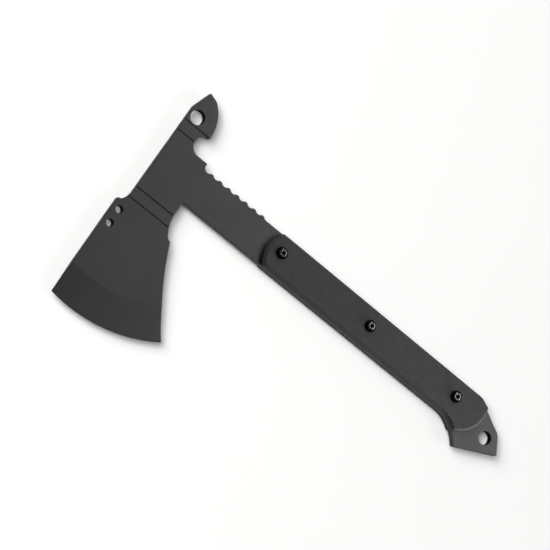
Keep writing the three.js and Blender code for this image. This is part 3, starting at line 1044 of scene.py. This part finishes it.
steel_plate()
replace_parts(grip_scale("front_grip_scale", 1), "front_scale")
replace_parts(grip_scale("back_grip_scale", -1), "back_scale")
for place in SCREW_PLACES:
    screw(place, 1)
    screw(place, -1)
    sleeve = frame["nodes"][f"tang_sleeve_{place}"]
    sleeve.material_slots[0].material = SLEEVE_STEEL

# ---- Floor, lights and world ----------------------------------------------------------

middle = (Vector(cad_box[0]) + Vector(cad_box[1])) / 2


FLOOR_HALF = 4.0


def floor():
    """A wide pale sheet that the hatchet lies on."""
    mesh = bpy.data.meshes.new("studio_floor")
    corners = [(x * FLOOR_HALF, y * FLOOR_HALF, 0) for x, y in ((-1, -1), (1, -1), (1, 1), (-1, 1))]
    mesh.from_pydata(corners, [], [(0, 1, 2, 3)])
    mesh.materials.append(pale_paper())
    plane = bpy.data.objects.new("studio_floor", mesh)
    bpy.context.scene.collection.objects.link(plane)
    plane.visible_glossy = False
    return plane


def lit_group(name, objects):
    """The things that a light is kept to."""
    group = bpy.data.collections.new(name)
    for thing in objects:
        group.objects.link(thing)
    return group


NEUTRAL = (1.0, 1.0, 1.0)
WARM = (1.0, 0.99, 0.98)
# The sky's grey from straight down (0) over the horizon (0.5) to straight up (1).
WORLD_LEVELS = ((0.0, 0.45), (0.47, 0.45), (0.485, 0.9), (0.53, 0.9), (0.56, 0.13), (1.0, 0.13))


def softbox(name, direction, distance, side, power, group, colour=NEUTRAL):
    """A square area light at a distance along a direction from the hatchet, facing it."""
    data = bpy.data.lights.new(name, "AREA")
    data.shape = "SQUARE"
    data.size = side
    data.energy = power
    data.color = colour
    light = bpy.data.objects.new(name, data)
    bpy.context.scene.collection.objects.link(light)
    light.location = middle + Vector(direction).normalized() * distance
    light.rotation_euler = (middle - light.location).to_track_quat("-Z", "Y").to_euler()
    light.visible_camera = False
    light.light_linking.receiver_collection = group
    return light


hatchet_group = lit_group("lit_hatchet", [o for o in bpy.data.objects if o.type == "MESH"])
scale_group = lit_group("lit_scales", [o for o in hatchet_group.objects if "grip_scale" in o.name])
floor_group = lit_group("lit_floor", [floor()])

# On the whole hatchet: the soft sheen of its upper faces, beak and pommel.
softbox("face_box", (0.54, 0.45, 0.71), 1.0, 0.5, 4.5, hatchet_group)
softbox("upper_box", (-0.10, 0.80, 0.58), 1.0, 0.3, 4.4, hatchet_group)
softbox("pommel_box", (0.783, 0.0715, 0.62), 1.0, 0.3, 4.2, hatchet_group)
# On the scales only: the chamfer's front arc and the lines along its rear and lower edges.
softbox("scale_front_fill", (-0.70, 0.45, 0.55), 1.0, 0.3, 2.8, scale_group)
softbox("scale_rear_glint", (0.95, 0.25, 0.10), 0.9, 0.25, 4.0, scale_group)
softbox("scale_low_glint", (0.95, -0.28, 0.12), 0.9, 0.25, 9.0, scale_group)
softbox("scale_lower_glint", (0.26, -0.92, 0.28), 1.0, 0.3, 2.4, scale_group)
# On the floor only: two from the poll's side, high and low, and a weak one facing them.
softbox("floor_high", (-0.44, -0.16, 0.88), 4.5, 2.16, 156.0, floor_group, WARM)
softbox("floor_low", (-0.71, 0.0, 0.71), 4.5, 2.16, 92.0, floor_group, WARM)
softbox("floor_far", (0.71, 0.0, 0.71), 4.5, 2.16, 24.0, floor_group)


def world_light():
    """A grey sky, pale at the horizon, half as bright below it and dim overhead."""
    world = bpy.data.worlds.new("studio")
    world.use_nodes = True
    bpy.context.scene.world = world
    nodes, links = world.node_tree.nodes, world.node_tree.links
    where = nodes.new("ShaderNodeTexCoord")
    split = nodes.new("ShaderNodeSeparateXYZ")
    height = nodes.new("ShaderNodeMapRange")
    height.inputs["From Min"].default_value = -1.0
    ramp = nodes.new("ShaderNodeValToRGB")
    stops = ramp.color_ramp.elements
    while len(stops) < len(WORLD_LEVELS):
        stops.new(0.5)
    for stop, (position, level) in zip(stops, WORLD_LEVELS):
        stop.position = position
        stop.color = (level, level, level, 1)
    links.new(where.outputs["Generated"], split.inputs["Vector"])
    links.new(split.outputs["Z"], height.inputs["Value"])
    links.new(height.outputs["Result"], ramp.inputs["Fac"])
    links.new(ramp.outputs["Color"], nodes["Background"].inputs["Color"])


world_light()
bpy.context.scene.view_settings.view_transform = "Standard"

# ---- Camera ---------------------------------------------------------------------------

CAMERA_DISTANCE = 2.044
CAMERA_AZIMUTH = -43.06
CAMERA_ELEVATION = 67.41
CAMERA_ROLL = 79.8
CAMERA_TARGET = (122.96, -13.93)
FIELD_OF_VIEW = 11.2185

azimuth, elevation = math.radians(CAMERA_AZIMUTH), math.radians(CAMERA_ELEVATION)
away = Vector((
    math.cos(elevation) * math.sin(azimuth),
    -math.cos(elevation) * math.cos(azimuth),
    math.sin(elevation),
))
target = ORIGIN + Vector((*CAMERA_TARGET, 0)) * MM
camera_data = bpy.data.cameras.new("camera")
camera_data.angle = math.radians(FIELD_OF_VIEW)
camera_data.clip_end = 50.0
camera = bpy.data.objects.new("camera", camera_data)
bpy.context.scene.collection.objects.link(camera)
level = (-away).to_track_quat("-Z", "Y").to_matrix().to_4x4()
roll = Matrix.Rotation(math.radians(CAMERA_ROLL), 4, "Z")
camera.matrix_world = Matrix.Translation(target + away * CAMERA_DISTANCE) @ level @ roll
bpy.context.scene.camera = camera
